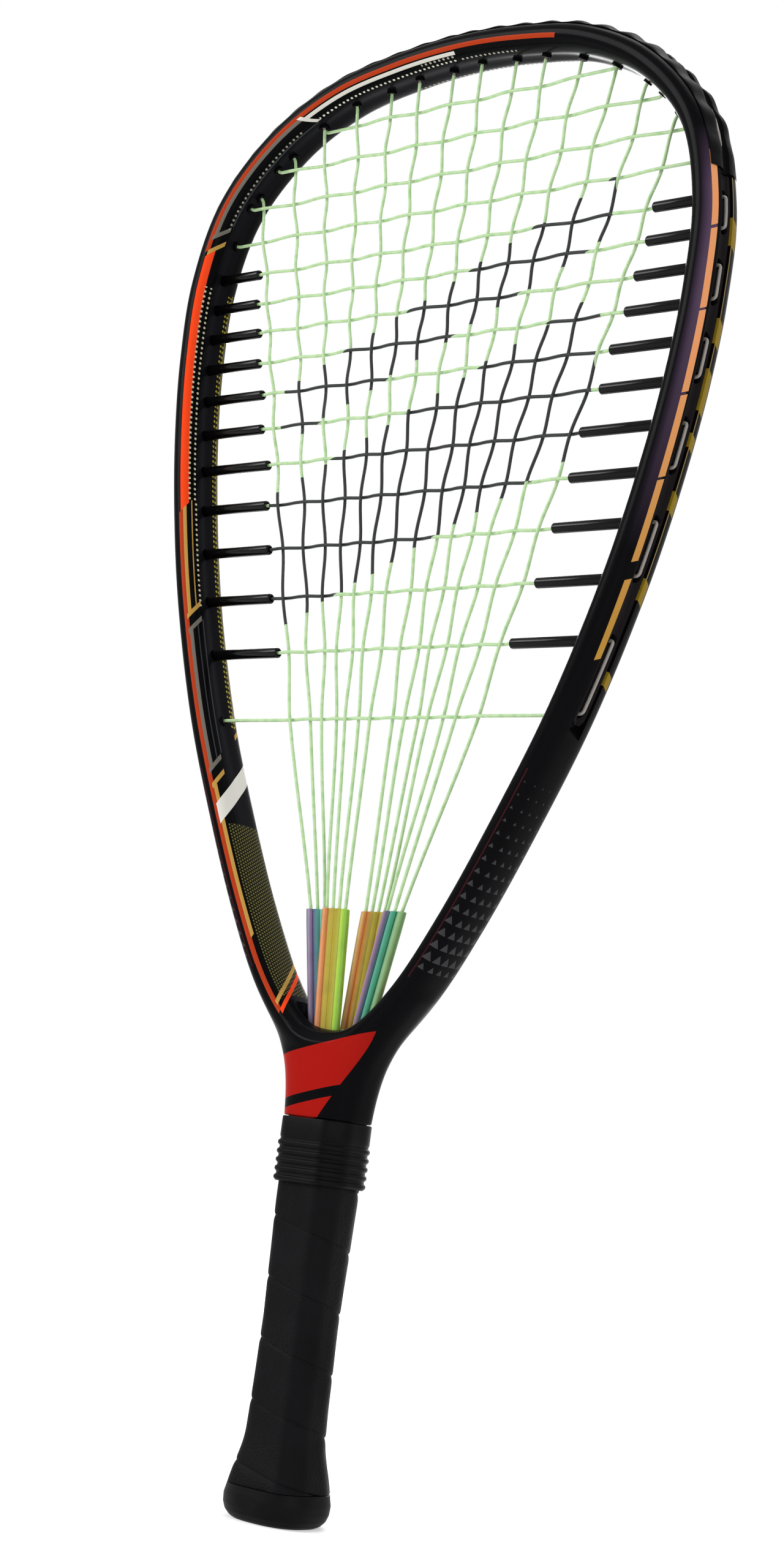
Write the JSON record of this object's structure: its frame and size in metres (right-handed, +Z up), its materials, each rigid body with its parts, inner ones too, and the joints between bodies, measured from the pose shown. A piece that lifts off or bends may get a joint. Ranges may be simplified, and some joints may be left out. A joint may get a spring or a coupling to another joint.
{
  "type": "racquetball racket",
  "caption": "Short-handled racket: hollow teardrop frame, long main strings that run through sleeves into the handle, tubes that lead the crosses, bumper guard, ribbed collar and wrapped grip.",
  "frame": {"origin": "middle of the flat end of the butt", "axes": "+Z up the racket from the butt to the head, +X across the head to the right seen from the front, +Y through the head from front to back"},
  "size_m": [0.2539, 0.0322, 0.5589],
  "materials": {
    "composite": "gloss",
    "guard": "satin",
    "tube": "gloss",
    "string": "gloss",
    "sleeve_purple": "gloss",
    "sleeve_orange": "gloss",
    "sleeve_gold": "gloss",
    "sleeve_teal": "gloss",
    "steel": "satin",
    "pallet": "matt",
    "grip": "matt",
    "tape": "satin",
    "rubber": "matt",
    "cap": "satin"
  },
  "bodies": {
    "racket": {"frame": "composite", "bumper_guard": "guard", "grommet_strip_right": "guard", "grommet_strip_left": "guard", "tube_right_01": "tube", "tube_left_01": "tube", "tube_right_02": "tube", "tube_left_02": "tube", "tube_right_03": "tube", "tube_left_03": "tube", "tube_right_04": "tube", "tube_left_04": "tube", "tube_right_05": "tube", "tube_left_05": "tube", "tube_right_06": "tube", "tube_left_06": "tube", "tube_right_07": "tube", "tube_left_07": "tube", "tube_right_08": "tube", "tube_left_08": "tube", "tube_right_09": "tube", "tube_left_09": "tube", "tube_right_10": "tube", "tube_left_10": "tube", "tube_right_11": "tube", "tube_left_11": "tube", "main_string": "string", "cross_string": "string", "sleeve_outer_left": "sleeve_purple", "sleeve_inner_left": "sleeve_orange", "sleeve_inner_right": "sleeve_gold", "sleeve_outer_right": "sleeve_teal", "string_pin": "steel", "handle_pallet": "pallet", "grip_wrap": "grip", "grip_tape": "tape", "butt_cap": "cap", "butt_staple_right": "steel", "butt_staple_left": "steel"},
    "collar_ring": {"collar": "rubber"}
  },
  "joints": [
    {"name": "collar_slide", "type": "slide", "parent": "racket", "child": "collar_ring", "axis": [0, 0, -1], "range_m": [0, 0.024]}
  ]
}
